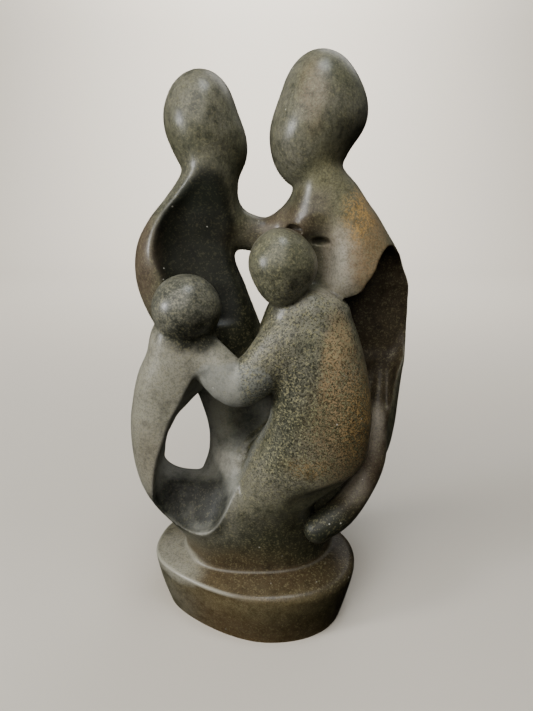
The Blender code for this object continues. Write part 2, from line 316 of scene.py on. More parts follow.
@dataclass(frozen=True)
class BowlOpening:
    """The scooped bowl between the children and the hole that goes on through the back.

    Each level gives its height, left and right at its front. Its floor climbs to a ledge at the neck, where
    its ceiling is lowest, and both turn back behind it. The ledge rises towards the right.
    """

    levels: Rows
    climb: float = 19.5
    step: Span = (-25.0, -3.0)
    neck_end: float = 6.0
    neck_turn: float = 8.0
    fall: float = 0.80
    tilt: float = 0.20
    middle: float = -48.0
    least_height: float = 20.0
    corner_round: float = 6.0

    def distance(self, p: Points) -> Array:
        """Distances of points p to the opening."""
        x, y, z = p
        rows = np.array(self.levels, np.float32)
        low, high = rows[-1, 0], rows[0, 0]
        climb = (self.climb + self.tilt * (x - self.middle)) * smooth_step(*self.step, y)
        behind = np.hypot(np.maximum(y - self.neck_end, 0.0), self.neck_turn) - self.neck_turn
        shift = climb - self.fall * behind
        tall = np.maximum(high - low - 2 * shift, self.least_height)
        height = low + (z - (low + shift)) * (high - low) / tall
        left, right = along(height, rows[:, 0], rows[:, 1]), along(height, rows[:, 0], rows[:, 2])
        side = np.maximum(left - x, x - right)
        ends = np.maximum(height - high, low - height)
        return common(side, ends, self.corner_round)


@dataclass(frozen=True)
class DishHollow:
    """The shallow hollow front of the lower parent. Each level gives its height, left and depth."""

    levels: Rows
    side_round: float = 14.0
    end_round: float = 3.0

    def distance(self, p: Points) -> Array:
        """Distances of points p to the hollow."""
        x, y, z = p
        rows = np.array(self.levels, np.float32)
        left, deep = along(z, rows[:, 0], rows[:, 1]), along(z, rows[:, 0], rows[:, 2])
        ends = np.maximum(z - rows[0, 0], rows[-1, 0] - z)
        return common(common(left - x, y - deep, self.side_round), ends, self.end_round)


@dataclass(frozen=True)
class ShellHollow:
    """The long hollow under the taller parent's arm. Each level gives its height, left, right and depth."""

    levels: Rows
    side_round: float = 8.0
    end_round: float = 2.0

    def distance(self, p: Points) -> Array:
        """Distances of points p to the hollow."""
        x, y, z = p
        rows = np.array(self.levels, np.float32)
        left, right, deep = (along(z, rows[:, 0], rows[:, i]) for i in (1, 2, 3))
        side = np.maximum(left - x, x - right)
        ends = np.maximum(z - rows[0, 0], rows[-1, 0] - z)
        return common(common(side, y - deep, self.side_round), ends, self.end_round)


@dataclass
class Children:
    """The two children with their joined arms, the bowl scooped out between them, and their foot."""

    right_body: StandingMass = StandingMass(
        (
            (207, 8, 30, -30, 0),
            (200, 2, 41, -34, 2),
            (191, -2, 45, -36, 4),
            (178, -5, 50, -39, 6),
            (158, 1, 55, -42, 8),
            (146, 2, 57, -43, 8),
            (134, 0, 58, -43, 8),
            (122, -5, 57.5, -42, 8),
            (112, -10, 56.5, -41, 8),
            (104, -13, 53.5, -40, 8),
            (97, -16, 47.5, -38, 8),
            (90, -19, 38, -36, 8),
            (82, -23, 30, -34, 8),
            (70, -30, 28, -31, 8),
            (52, -42, 30, -28, 8),
            (30, -42, 30, -25, 8),
        ),
        power=2.3,
    )
    left_body: StandingMass = StandingMass(
        (
            (196, -54, -30, -32, 2),
            (184, -61, -28, -34, 6),
            (173, -64, -26, -35, 8),
            (160, -70, -24, -35, 10),
            (148, -73.5, -24, -34, 12),
            (133, -76.5, -24, -33, 14),
            (118, -77.5, -24, -32, 16),
            (103, -76.8, -20, -31, 18),
            (90, -74.5, -10, -31, 22),
            (78, -69.5, 0, -31, 27),
            (66, -61, 10, -30, 30),
            (54, -53.5, 20, -28, 33),
            (44, -49.5, 32, -26.5, 35),
            (30, -48.5, 38, -25.5, 36),
        ),
        power=2.5,
    )
    foot: StandingMass = StandingMass(
        (
            (60, -46, 34, -27, 34),
            (46, -50, 38, -26.5, 35.5),
            (36, -52, 42, -26, 36),
            (20, -52, 42, -26, 36),
        )
    )
    arms: RoundArm = RoundArm(
        (
            (-42, -20, 182, 11),
            (-31, -25, 171, 11.5),
            (-16, -28, 158, 12.5),
            (-4, -29, 165, 12.5),
            (8, -27, 178, 14),
        ),
        flat=0.8,
    )
    opening: BowlOpening = BowlOpening(
        (
            (170, -34, -2),
            (164, -37, 2),
            (158, -40.5, 2.5),
            (148, -45.5, 2.5),
            (138, -51, 1.5),
            (127, -55, -2.5),
            (114, -59.5, -9),
            (104, -62, -13),
            (92, -64, -18.5),
            (80, -64, -24),
            (72, -58, -28.5),
            (65, -46, -34),
        )
    )
    undercut: RoundArm = RoundArm(
        (
            (58, -20, 108, 3.0),
            (50, -27, 100.5, 4.5),
            (41, -33.5, 95.5, 6.0),
            (31, -38, 91.5, 7.0),
            (19, -41.5, 87, 8.0),
        )
    )
    bowl_corner: WideRound = WideRound((-17.0, 0.0, 104.0), (9.0, 9.0, 9.0), 9.0)
    body_join: float = 8.0
    foot_join: float = 6.0
    arm_join: float = 4.0
    bowl_round: float = 1.6
    undercut_round: float = 5.0
    right_head: PlainHead = PlainHead(
        centre=(8.0, -25.0, 219.0),
        radii=(17.3, 17.4, 19.0, 18.3, 17.0, 17.2, 20.0, 17.2),
        front=17,
        back=17,
        neck=1.6,
    )
    left_head: PlainHead = PlainHead(
        centre=(-41.0, -22.0, 197.0),
        radii=(17.8,) * 8,
        front=17.5,
        back=17.5,
        neck=1.4,
    )

    def bodies(self, p: Points) -> Array:
        """Distances of points p to both bodies, the foot and the joined arms."""
        made = joined(self.right_body.distance(p), self.left_body.distance(p), self.body_join)
        made = joined(made, self.foot.distance(p), self.foot_join)
        made = carved(made, self.opening.distance(p), self.bowl_round + self.bowl_corner.extra(p))
        made = carved(made, self.undercut.distance(p), self.undercut_round)
        return joined(made, self.arms.distance(p), self.arm_join)


@dataclass
class Parents:
    """The two parents, the arm between them, the lower one's dish and the taller one's shell-shaped back."""

    low_body: StandingMass = StandingMass(
        (
            (276, -42, -16, -13, 18),
            (264, -43.5, -14.5, -15, 20),
            (252, -52, -15, -15, 23),
            (240, -62.5, -16, -15, 26),
            (228, -69.5, -18, -15, 28),
            (217, -72, -17, -15, 29),
            (205, -72, -12.5, -14, 30),
            (190, -68, -7, -12, 30),
            (175, -61, -1, -10, 30),
            (158, -52, 10, -6, 30),
            (141, -44, 20, -1, 30),
            (126, -39, 27, 1, 30),
            (110, -36, 31, 2, 30),
            (95, -37, 32, 1, 31),
            (80, -42, 30, 0, 32),
            (60, -46, 20, -4, 34),
            (30, -46, 20, -4, 34),
        )
    )
    tall_body: StandingMass = StandingMass(
        (
            (278, 17, 40, -17, 16),
            (266, 15, 39, -17, 18),
            (257, 14, 47, -17, 21),
            (249, 11.5, 53, -18, 23),
            (242, 9, 58.5, -19, 25),
            (233, 8, 64.5, -20, 27),
            (223, 8, 71, -22, 29),
            (214, 8, 76.5, -23, 30),
            (205, 8, 81, -22, 31),
            (192, 8, 83, -20, 31),
            (175, 9, 82.5, -16, 31),
            (158, 10, 80.5, -12, 31),
            (134, 10, 79.5, -9, 31),
            (115, 8, 78.5, -8, 31),
            (98, 5, 75.5, -7, 32),
            (83, 2, 68, -6, 33),
            (68, 0, 57, -6, 34),
            (52, 0, 47, -6, 34),
            (30, 0, 42, -6, 34),
        )
    )
    arm: RoundArm = RoundArm(
        (
            (-30, 6, 243, 11),
            (-14, 8, 234, 10),
            (1, 8, 231, 9.6),
            (16, 6, 237, 11),
        ),
        flat=0.9,
    )
    chest: Pocket = Pocket((23.5, -31, 218), (13, 23, 25))
    dish: DishHollow = DishHollow(
        (
            (270, -38, -17),
            (262, -42, -14),
            (251, -49, -9.5),
            (245, -53.5, -7),
            (238, -56.5, -5),
            (230, -58, -3.5),
            (222, -58, -3),
            (213, -55, -3),
            (200, -50, -4),
            (186, -46, -7),
        )
    )
    shell: ShellHollow = ShellHollow(
        (
            (227, 61.5, 66, 2),
            (222, 57.5, 70, 4),
            (216, 55, 77, 6),
            (210, 51, 86, 8),
            (204, 46, 96, 9),
            (200, 34, 98, 10),
            (190, 26, 94, 11),
            (180, 26, 86.5, 11),
            (172, 26, 82.2, 11),
            (165, 26, 79.4, 11),
            (159, 26, 76.8, 10),
            (151, 26, 74.4, 10),
            (140, 26, 73, 7),
            (130, 25, 72, 3),
            (120, 24, 71, -2),
            (108, 22, 69, -6),
            (94, 20, 66, -9),
            (80, 20, 58, -10),
            (66, 20, 46, -12),
        )
    )
    hook: RoundArm = RoundArm(
        (
            (68.2, 12.5, 155, 1.4),
            (67.3, 8.5, 145.5, 2.4),
            (66, 4, 136, 3.5),
            (65.5, 0.5, 127, 5.0),
            (65, -2.5, 118, 6.3),
            (64.3, -4.8, 109, 7.2),
            (62.3, -6.8, 99, 7.8),
            (57.5, -10, 88.5, 8.0),
            (50, -15, 78.5, 8.4),
            (40.9, -20.5, 71.7, 8.8),
            (29.9, -24, 65.2, 8.2),
        )
    )
    pits: tuple[Pocket, ...] = (
        Pocket((14, -9, 235.5), (5.2, 7, 2.6)),
        Pocket((27, -15, 229.8), (5.0, 8, 2.4)),
    )
    tall_head: PlainHead = PlainHead(
        centre=(26.0, 2.0, 287.0),
        radii=(24.0, 27.8, 32.8, 24.8, 23.8, 30.2, 32.0, 21.5),
        front=24,
        back=24,
        neck=1.6,
    )
    low_head: PlainHead = PlainHead(
        centre=(-31.0, 5.0, 285.0),
        radii=(19.4, 20.0, 26.5, 24.2, 20.8, 21.7, 29.0, 27.2),
        front=21,
        back=22,
        neck=3.0,
    )
    chest_round: float = 6.0
    shell_round: Span = (1.4, 4.0)
    shell_rim: float = 66.0
    shell_rim_widens: float = 0.22
    pit_round: float = 1.0
    hook_join: float = 4.0
    dish_round: float = 3.5

    def tall(self, p: Points) -> Array:
        """Distances of points p to the taller parent without its head."""
        made = carved(self.tall_body.distance(p), self.chest.distance(p), self.chest_round)
        least, most = self.shell_round
        rim = np.clip(least + (p[0] - self.shell_rim) * self.shell_rim_widens, least, most)
        made = carved(made, self.shell.distance(p), rim)
        for pit in self.pits:
            made = carved(made, pit.distance(p), self.pit_round)
        return made

    def hooked(self, p: Points, tall: Array) -> Array:
        """Distances of points p to the taller parent with the hooked end of its back."""
        return joined(tall, self.hook.distance(p), self.hook_join)

    def low(self, p: Points) -> Array:
        """Distances of points p to the lower parent without its head."""
        return carved(self.low_body.distance(p), self.dish.distance(p), self.dish_round)


@dataclass
class PebbleBase:
    """The base: a flat pebble, an oval that swells up to its rim, with a domed top. Metres."""

    width: float = 0.1275
    depth: float = 0.0922
    height: float = 0.036
    crown: float = 0.0035
    taper: float = 0.0075
    turn: float = math.radians(11.0)
    flat_side_reach: float = 0.0500
    flat_side_turn: float = math.radians(56.0)
    section: float = 2.2
    swell: float = 1.4
    side_join: float = 0.012
    rim_round: float = 0.0055
    crisp_round: float = 0.00175
    crisp_until: Span = (-0.02, 0.03)

    def distance(self, p: Points) -> Array:
        """Distances of points p to the base. Its rim is crisp on the left and round on the right."""
        x, y, z = p
        c, s = math.cos(self.turn), math.sin(self.turn)
        u, v = x * c - y * s, x * s + y * c
        inside = self.taper * np.maximum(1.0 - np.maximum(z, 0.0) / self.height, 0.0) ** self.swell
        side = oval(u, v, self.width / 2 - inside, self.depth / 2 - inside * 0.7, self.section)
        flat = -x * math.cos(self.flat_side_turn) - y * math.sin(self.flat_side_turn)
        side = common(side, flat - self.flat_side_reach + inside, self.side_join)
        spread = (2 * u / self.width) ** 2 + (2 * v / self.depth) ** 2
        top = z - self.height - self.crown * (1.0 - spread)
        share = smooth_step(*self.crisp_until, x)
        return common(side, top, self.crisp_round + (self.rim_round - self.crisp_round) * share)


class PolishInput(Enum):
    """The sizes that the hand polishing takes."""

    UNEVENNESS = ("Unevenness", "NodeSocketFloat", 0.00016)
    WAVE_LENGTH = ("Wave Length", "NodeSocketFloat", 0.011)
    NICKS = ("Nicks", "NodeSocketFloat", 0.00012)
    NICK_LENGTH = ("Nick Length", "NodeSocketFloat", 0.0035)
    SEED = ("Seed", "NodeSocketInt", 7)
    STONE = ("Stone", "NodeSocketMaterial", None)


class Blend(Enum):
    """How one colour is laid over another."""

    MIX = "MIX"
    MULTIPLY = "MULTIPLY"


class Mark(Enum):
    """What a point of the stone is on. Each is an attribute of the mesh, from 0 to 1."""

    LEFT_CHILD = "left_child"
    RIGHT_CHILD = "right_child"
    LOW_PARENT = "low_parent"
    TALL_PARENT = "tall_parent"
    BASE = "base"
    DISH = "dish"
    SHELL = "shell"
    BOWL = "bowl"
    RIDGE = "ridge"
    CREASE = "crease"
    FOOT_LINE = "foot_line"


class NodeTree:
    """A node tree that is written as plain expressions."""

    def __init__(self, tree: bpy.types.NodeTree) -> None:
        """Wraps the tree, which starts empty."""
        self.tree = tree
        tree.nodes.clear()

    def node(
        self,
        kind: str,
        settings: dict[str, object] | None = None,
        inputs: dict[str | int, object] | None = None,
    ) -> bpy.types.Node:
        """Adds one node.

        Args:
            kind: The node's type, such as ShaderNodeMath.
            settings: Its own settings, which are set first.
            inputs: Values, sockets or signals for its sockets, by name or number.

        Returns:
            The node.
        """
        made = self.tree.nodes.new(kind)
        for name, value in (settings or {}).items():
            setattr(made, name, value)
        for name, value in (inputs or {}).items():
            if isinstance(value, Signal):
                value = value.socket
            if isinstance(value, Socket):
                self.tree.links.new(value, made.inputs[name])
            else:
                made.inputs[name].default_value = value
        return made

    def signal(self, socket: Socket) -> "Signal":
        """The socket, ready for arithmetic."""
        return Signal(self, socket)

    def mark(self, mark: Mark) -> "Signal":
        """One of the mesh's marks."""
        made = self.node("ShaderNodeAttribute", {"attribute_name": mark.value})
        return self.signal(made.outputs["Fac"])

    def vector(self, operation: str, *values: object) -> Socket:
        """Vector arithmetic.

        Args:
            operation: The Vector Math operation.
            values: Its operands: sockets, or three numbers.

        Returns:
            The vector, or the number where the operation measures a length.
        """
        made = self.node("ShaderNodeVectorMath", {"operation": operation}, dict(enumerate(values)))
        return made.outputs["Value" if operation == "LENGTH" else "Vector"]

    def mix(
        self,
        share: "Signal | float",
        below: Socket | Colour,
        above: Socket | Colour,
        blend: Blend = Blend.MIX,
    ) -> Socket:
        """Lays one colour over another.

        Args:
            share: How much of the upper colour shows.
            below: The lower colour.
            above: The upper colour.
            blend: How it is laid.

        Returns:
            The mixed colour.
        """
        made = self.node(
            "ShaderNodeMix",
            {"data_type": "RGBA", "blend_type": blend.value, "clamp_factor": True},
            {0: share, 6: below, 7: above},
        )
        return made.outputs[2]

    def noise(
        self,
        position: Socket,
        size: "Signal | float",
        detail: float,
        rough: float,
        seed: "Signal | float",
    ) -> bpy.types.Node:
        """Cloudy noise.

        Args:
            position: Where it is read.
            size: The size of its clouds, in metres.
            detail: How many finer layers it has.
            rough: How strong they are.
            seed: Which noise it is.

        Returns:
            The noise node.
        """
        return self.node(
            "ShaderNodeTexNoise",
            {"noise_dimensions": "4D"},
            {"Vector": position, "W": seed, "Scale": 1.0 / size, "Detail": detail, "Roughness": rough},
        )


class Signal:
    """A number that varies over the stone. Arithmetic on it adds Math nodes."""

    def __init__(self, tree: NodeTree, socket: Socket) -> None:
        """Wraps one socket of the tree."""
        self.tree = tree
        self.socket = socket

    def _math(self, operation: str, *values: "Signal | float") -> "Signal":
        """Adds one Math node.

        Args:
            operation: Its operation.
            values: Its operands in order.

        Returns:
            Its result.
        """
        made = self.tree.node("ShaderNodeMath", {"operation": operation}, dict(enumerate(values)))
        return Signal(self.tree, made.outputs[0])

    def __add__(self, other: "Signal | float") -> "Signal":
        """self + other."""
        return self._math("ADD", self, other)

    def __sub__(self, other: "Signal | float") -> "Signal":
        """self - other."""
        return self._math("SUBTRACT", self, other)

    def __rsub__(self, other: float) -> "Signal":
        """other - self."""
        return self._math("SUBTRACT", other, self)

    def __mul__(self, other: "Signal | float") -> "Signal":
        """self * other."""
        return self._math("MULTIPLY", self, other)

    def __truediv__(self, other: "Signal | float") -> "Signal":
        """self / other."""
        return self._math("DIVIDE", self, other)

    def __rtruediv__(self, other: float) -> "Signal":
        """other / self."""
        return self._math("DIVIDE", other, self)

    def highest(self, other: "Signal | float") -> "Signal":
        """The higher of the two."""
        return self._math("MAXIMUM", self, other)

    def lowest(self, other: "Signal | float") -> "Signal":
        """The lower of the two."""
        return self._math("MINIMUM", self, other)

    def between(self, low: float, high: float) -> "Signal":
        """Rises smoothly from 0 at low to 1 at high, or falls where low is the higher."""
        made = self.tree.node(
            "ShaderNodeMapRange",
            {"interpolation_type": "SMOOTHSTEP", "clamp": True},
            {"Value": self, "From Min": low, "From Max": high, "To Min": 0.0, "To Max": 1.0},
        )
        return Signal(self.tree, made.outputs["Result"])


def stone_colour(red: float, green: float, blue: float) -> Colour:
    """A colour read off as display values from 0 to 255, as the scene-linear colour that nodes take.

    Args:
        red: Its red.
        green: Its green.
        blue: Its blue.

    Returns:
        The linear colour, with alpha.
    """

    def linear(value: float) -> float:
        """One channel of it."""
        share = value / 255.0
        return share / 12.92 if share <= 0.04045 else ((share + 0.055) / 1.055) ** 2.4

    return (linear(red), linear(green), linear(blue), 1.0)


@dataclass(frozen=True)
class Stain:
    """A patch of another colour laid on the stone, for weathered colour and for painted shade and
    highlights: an ellipsoid with a ragged, soft edge. Metres.

    Speckle 0 is an even wash, and speckle 1 only a dense scatter of dots.
    """

    tint: Colour
    centre: Vec
    radii: Vec
    strength: float = 1.0
    soft: float = 0.35
    speckle: float = 0.0


@dataclass(frozen=True)
class Readings:
    """What every layer of colour reads at a point of the stone."""

    tree: NodeTree
    position: Socket
    across: Signal
    height: Signal
    marks: dict[Mark, Signal]
    clouds: Signal
    mottle: Signal
    grain: Signal
    fleck: Signal


@dataclass(frozen=True)
class SerpentineFinish:
    """Satin-polished serpentine: green-grey with a fine fleck, rust-brown where it has weathered."""

    slot: str = "serpentine"
    green: Colour = stone_colour(106, 106, 85)
    grey: Colour = stone_colour(124, 122, 106)
    dark: Colour = stone_colour(42, 48, 38)
    pale: Colour = stone_colour(166, 163, 148)
    blue_grey: Colour = stone_colour(144, 148, 145)
    moss: Colour = stone_colour(46, 48, 28)
    black: Colour = stone_colour(24, 27, 18)
    fleck: Colour = stone_colour(172, 166, 124)
    rust: Colour = stone_colour(168, 138, 96)
    ochre: Colour = stone_colour(216, 176, 108)
    sand: Colour = stone_colour(196, 174, 134)
    umber: Colour = stone_colour(64, 50, 33)
    brown: Colour = stone_colour(98, 78, 50)
    mauve: Colour = stone_colour(102, 86, 70)
    bright: Colour = stone_colour(188, 178, 160)
    sugar: Colour = stone_colour(226, 224, 212)
    cloud_size: float = 0.040
    mottle_size: float = 0.0052
    grain_size: float = 0.0009
    fleck_to_grain: float = 1.2
    streak_size: float = 0.0016
    streak_squeeze: float = 0.25
    drift_size: float = 0.013
    drift_reach: float = 0.012
    specks_per_metre: float = 300.0
    roughness: float = 0.34
    specular: float = 0.5
    bump_height: float = 0.00006

    def stains(self) -> tuple[Stain, ...]:
        """The patches, in the order in which they are laid: weathered colour, and painted shade and
        highlights.
        """
        return (
            # The left child's head
            Stain(self.dark, (-0.0336, -0.0206, 0.1965), (0.021, 0.021, 0.021), 0.85, 0.15, 0.3),
            # The taller parent's chest, where the first two paint the highlight of the light on its bulge,
            # and the edge of the shell beside it
            Stain(self.bright, (0.043, -0.022, 0.222), (0.012, 0.014, 0.019), 1.0, 0.4, 0.1),
            Stain(self.sugar, (0.0445, -0.022, 0.218), (0.007, 0.014, 0.010), 0.5, 0.6),
            Stain(self.bright, (0.0645, -0.012, 0.205), (0.009, 0.020, 0.018), 0.35, 0.5, 0.5),
            # The taller parent's neck
            Stain(self.fleck, (0.0405, -0.012, 0.257), (0.012, 0.020, 0.018), 0.55, 0.5, 0.7),
            Stain(self.umber, (0.029, -0.015, 0.244), (0.011, 0.020, 0.013), 0.70, 0.45),
            # Painted shade under the lower parent's head on its shoulder; the dish's lower right darkened,
            # partly its dark stone and partly painted shade; and painted shade on the underside of the left
            # child's head
            Stain(self.dark, (-0.028, -0.004, 0.253), (0.012, 0.020, 0.008), 0.60, 0.5),
            Stain(self.black, (-0.010, -0.003, 0.193), (0.016, 0.016, 0.030), 0.95, 0.2),
            Stain(self.black, (-0.025, -0.030, 0.187), (0.016, 0.018, 0.010), 0.85, 0.3),
            # The right child's shoulder
            Stain(self.pale, (0.033, -0.032, 0.199), (0.018, 0.020, 0.012), 0.45, 0.5, 0.4),
            # The taller parent's arm
            Stain(self.rust, (0.059, -0.018, 0.228), (0.011, 0.022, 0.024), 0.75, 0.45, 0.35),
            Stain(self.ochre, (0.0535, -0.016, 0.243), (0.008, 0.018, 0.012), 0.85, 0.5, 0.9),
            # The dark green of the right child's back and foot
            Stain(self.dark, (0.026, -0.040, 0.150), (0.018, 0.020, 0.022), 0.65, 0.6, 0.7),
            Stain(self.black, (0.016, -0.040, 0.128), (0.012, 0.020, 0.026), 0.35, 0.7, 0.8),
            Stain(self.black, (0.004, -0.036, 0.068), (0.022, 0.020, 0.014), 0.35, 0.7, 0.6),
            # The brown of the right child's back
            Stain(self.sand, (0.0435, -0.036, 0.183), (0.0065, 0.022, 0.013), 0.85, 0.40, 0.25),
            Stain(self.rust, (0.0435, -0.036, 0.180), (0.0075, 0.022, 0.018), 0.45, 0.50, 1.0),
            Stain(self.rust, (0.0395, -0.036, 0.164), (0.0050, 0.022, 0.012), 0.60, 0.40, 0.6),
            Stain(self.umber, (0.052, -0.036, 0.136), (0.018, 0.022, 0.034), 0.45, 0.6),
            Stain(self.rust, (0.054, -0.036, 0.142), (0.017, 0.022, 0.036), 0.70, 0.6, 0.9),
            Stain(self.sand, (0.050, -0.036, 0.134), (0.020, 0.022, 0.034), 0.55, 0.7, 1.0),
            Stain(self.ochre, (0.058, -0.036, 0.140), (0.010, 0.022, 0.020), 0.60, 0.7, 1.0),
            Stain(self.ochre, (0.0285, -0.040, 0.1145), (0.010, 0.01, 0.006), 0.35, 0.6, 1.0),
            # The taller parent's head, the lower parent's flank and the left child's leg
            Stain(self.rust, (0.0285, -0.017, 0.299), (0.006, 0.014, 0.016), 0.30, 0.6, 0.5),
            Stain(self.mauve, (-0.064, -0.004, 0.222), (0.014, 0.030, 0.034), 0.85, 0.4),
            Stain(self.brown, (-0.056, -0.029, 0.112), (0.012, 0.014, 0.022), 0.25, 0.6),
            # The arm between the parents
            Stain(self.umber, (0.006, -0.004, 0.232), (0.018, 0.02, 0.011), 0.55, 0.5),
            Stain(self.mauve, (0.016, -0.004, 0.238), (0.014, 0.02, 0.010), 0.6, 0.5),
            # The bowl: painted shade in its deep lower part and in the recess of its back wall, a fleck, and
            # a painted highlight along its ledge
            Stain(self.black, (-0.043, -0.014, 0.077), (0.024, 0.022, 0.014), 1.0, 0.3),
            Stain(self.black, (-0.024, -0.014, 0.077), (0.016, 0.018, 0.014), 0.90, 0.4),
            Stain(self.black, (-0.006, -0.004, 0.122), (0.010, 0.014, 0.018), 0.80, 0.4),
            Stain(self.fleck, (-0.019, -0.004, 0.126), (0.009, 0.014, 0.020), 0.35, 0.6, 0.8),
            Stain(self.sugar, (-0.014, -0.002, 0.098), (0.024, 0.012, 0.0055), 0.80, 0.5),
            # The hooked end of the shell: a painted reflection on its outer rim, a mauve patch, a painted
            # highlight along the hook's rim, and the dark tip of its tongue
            Stain(self.bright, (0.0706, -0.006, 0.122), (0.006, 0.012, 0.016), 0.65, 0.5),
            Stain(self.mauve, (0.068, -0.008, 0.100), (0.010, 0.014, 0.022), 0.6, 0.5),
            Stain(self.bright, (0.058, -0.014, 0.090), (0.008, 0.010, 0.010), 0.45, 0.6),
            Stain(self.dark, (0.040, -0.026, 0.070), (0.013, 0.012, 0.012), 0.8, 0.3),
            # The base, with painted shade as the black patch on its right side
            Stain(self.pale, (-0.050, -0.016, 0.037), (0.020, 0.026, 0.007), 1.0, 0.4),
            Stain(self.fleck, (0.004, -0.044, 0.028), (0.050, 0.016, 0.008), 0.35, 0.7, 0.9),
            Stain(self.moss, (0.036, -0.034, 0.020), (0.036, 0.020, 0.016), 0.55, 0.7),
            Stain(self.black, (0.052, -0.012, 0.026), (0.030, 0.030, 0.030), 0.60, 0.5),
            Stain(self.umber, (0.010, -0.034, 0.040), (0.040, 0.016, 0.006), 0.60, 0.6),
            # Painted shade on the foot beside the hook, under the bulge of the right child's flank
            Stain(self.black, (0.034, -0.030, 0.068), (0.022, 0.018, 0.018), 0.45, 0.6, 0.3),
        )

    def material(self) -> bpy.types.Material:
        """Builds the stone's material."""
        made = bpy.data.materials.new("serpentine_polished")
        made.use_nodes = True
        tree = NodeTree(made.node_tree)
        at = self._readings(tree)
        colour = self._ground(at)
        for layer in (self._figures, self._weathering_and_painted_light, self._grain, self._specks, self._edges):
            colour = layer(at, colour)
        bump = tree.node(
            "ShaderNodeBump",
            None,
            {
                "Strength": 0.55,
                "Distance": self.bump_height,
                "Height": at.grain * 0.55 + at.mottle * 0.45,
            },
        )
        shader = tree.node(
            "ShaderNodeBsdfPrincipled",
            None,
            {
                "Base Color": colour,
                "Roughness": self._roughness(at),
                "Specular IOR Level": self.specular,
                "Normal": bump.outputs["Normal"],
            },
        )
        tree.node("ShaderNodeOutputMaterial", None, {"Surface": shader.outputs["BSDF"]})
        return made

    def _readings(self, tree: NodeTree) -> Readings:
        """The point, the marks and the noises that the layers share."""
        position = tree.node("ShaderNodeTexCoord").outputs["Object"]
        parted = tree.node("ShaderNodeSeparateXYZ", None, {0: position}).outputs
        noises = (
            (self.cloud_size, 3.0, 0.55, 1.0),
            (self.mottle_size, 4.0, 0.65, 2.0),
            (self.grain_size, 3.0, 0.65, 3.0),
            (self.grain_size * self.fleck_to_grain, 2.0, 0.6, 4.0),
        )
        return Readings(
            tree,
            position,
            tree.signal(parted["X"]),
            tree.signal(parted["Z"]),
            {mark: tree.mark(mark) for mark in Mark},
            *(tree.signal(tree.noise(position, *noise).outputs["Fac"]) for noise in noises),
        )

    def _ground(self, at: Readings) -> Socket:
        """The green-grey of the whole block, streaked along the parents."""
        tree, marks = at.tree, at.marks
        stretched = tree.vector("MULTIPLY", at.position, (1.0, 1.0, self.streak_squeeze))
        streak = tree.signal(tree.noise(stretched, self.streak_size, 3.0, 0.6, 6.0).outputs["Fac"])
        colour = tree.mix(at.clouds.between(0.38, 0.62), self.green, self.grey)
        colour = tree.mix(at.mottle.between(0.50, 0.70) * 0.30, colour, self.dark)
        streaky = marks[Mark.TALL_PARENT] + marks[Mark.LOW_PARENT] + marks[Mark.BOWL] * 0.5
        return tree.mix(streak.between(0.42, 0.66) * streaky * 0.36, colour, self.dark)

    def _figures(self, at: Readings, colour: Socket) -> Socket:
        """Gives each figure and hollow the tone of its own stretch of the block; the dish's near-black is
        partly its dark stone and partly painted shade, and the bowl's blue-grey partly its stone and partly
        a painted cool sheen.

        Args:
            at: What is read at each point.
            colour: The colour so far.

        Returns:
            The new colour.
        """
        tree, marks = at.tree, at.marks
        colour = tree.mix(marks[Mark.LEFT_CHILD] * (at.clouds * 0.4 + 0.60), colour, self.pale)
        # Blue-grey of the bowl: partly the stone's tone, partly a painted cool sheen of sky light on its
        # floor and ledge
        colour = tree.mix(marks[Mark.BOWL] * (at.mottle * 0.5 + 0.25), colour, self.blue_grey)
        # Near-black of the dish: partly its dark stone, partly painted shade in the recess
        colour = tree.mix(marks[Mark.DISH] * 0.95, colour, self.black)
        return tree.mix(marks[Mark.SHELL] * (at.mottle * 0.3 + 0.72), colour, self.umber)

    def _weathering_and_painted_light(self, at: Readings, colour: Socket) -> Socket:
        """Darkens the figures towards the bottom, partly their dark green and partly painted shade, browns
        the base and lays the stains, among them painted shade and highlights, whose edges wander.

        Args:
            at: What is read at each point.
            colour: The colour so far.

        Returns:
            The new colour.
        """
        tree, marks = at.tree, at.marks
        drift = tree.noise(at.position, self.drift_size, 3.0, 0.6, 5.0).outputs["Color"]
        drift = tree.vector("SUBTRACT", drift, (0.5, 0.5, 0.5))
        drift = tree.vector("MULTIPLY", drift, (self.drift_reach,) * 3)
        wandering = tree.vector("ADD", at.position, drift)
        parted = tree.node("ShaderNodeSeparateXYZ", None, {0: wandering}).outputs
        side, height = tree.signal(parted["X"]), tree.signal(parted["Z"])

        off_base = 1.0 - marks[Mark.BASE]
        # Darker moss green towards the bottom of the figures: partly their dark green, partly painted shade
        # on the lower parts
        low_down = height.between(0.105, 0.045) * off_base * (1.0 - marks[Mark.BOWL])
        colour = tree.mix(low_down * 0.85, colour, self.moss)
        foot = height.between(0.066, 0.044) * off_base * side.between(0.040, -0.01)
        colour = tree.mix(foot * 0.55, colour, self.brown)
        on_base = marks[Mark.BASE] * (side.between(-0.062, -0.020) * 0.80 + 0.15)
        colour = tree.mix(on_base * (at.mottle * 0.5 + 0.65), colour, self.brown)
        dots = at.fleck.between(0.53, 0.45)
        for stain in self.stains():
            away = tree.vector("SUBTRACT", wandering, stain.centre)
            away = tree.vector("DIVIDE", away, stain.radii)
            share = tree.signal(tree.vector("LENGTH", away)).between(1.0 + stain.soft, 1.0 - stain.soft)
            cover = dots * stain.speckle + (1.0 - stain.speckle)
            cover = share * cover * (at.mottle * 0.7 + 0.55) * stain.strength
            colour = tree.mix(cover, colour, stain.tint)
        return colour

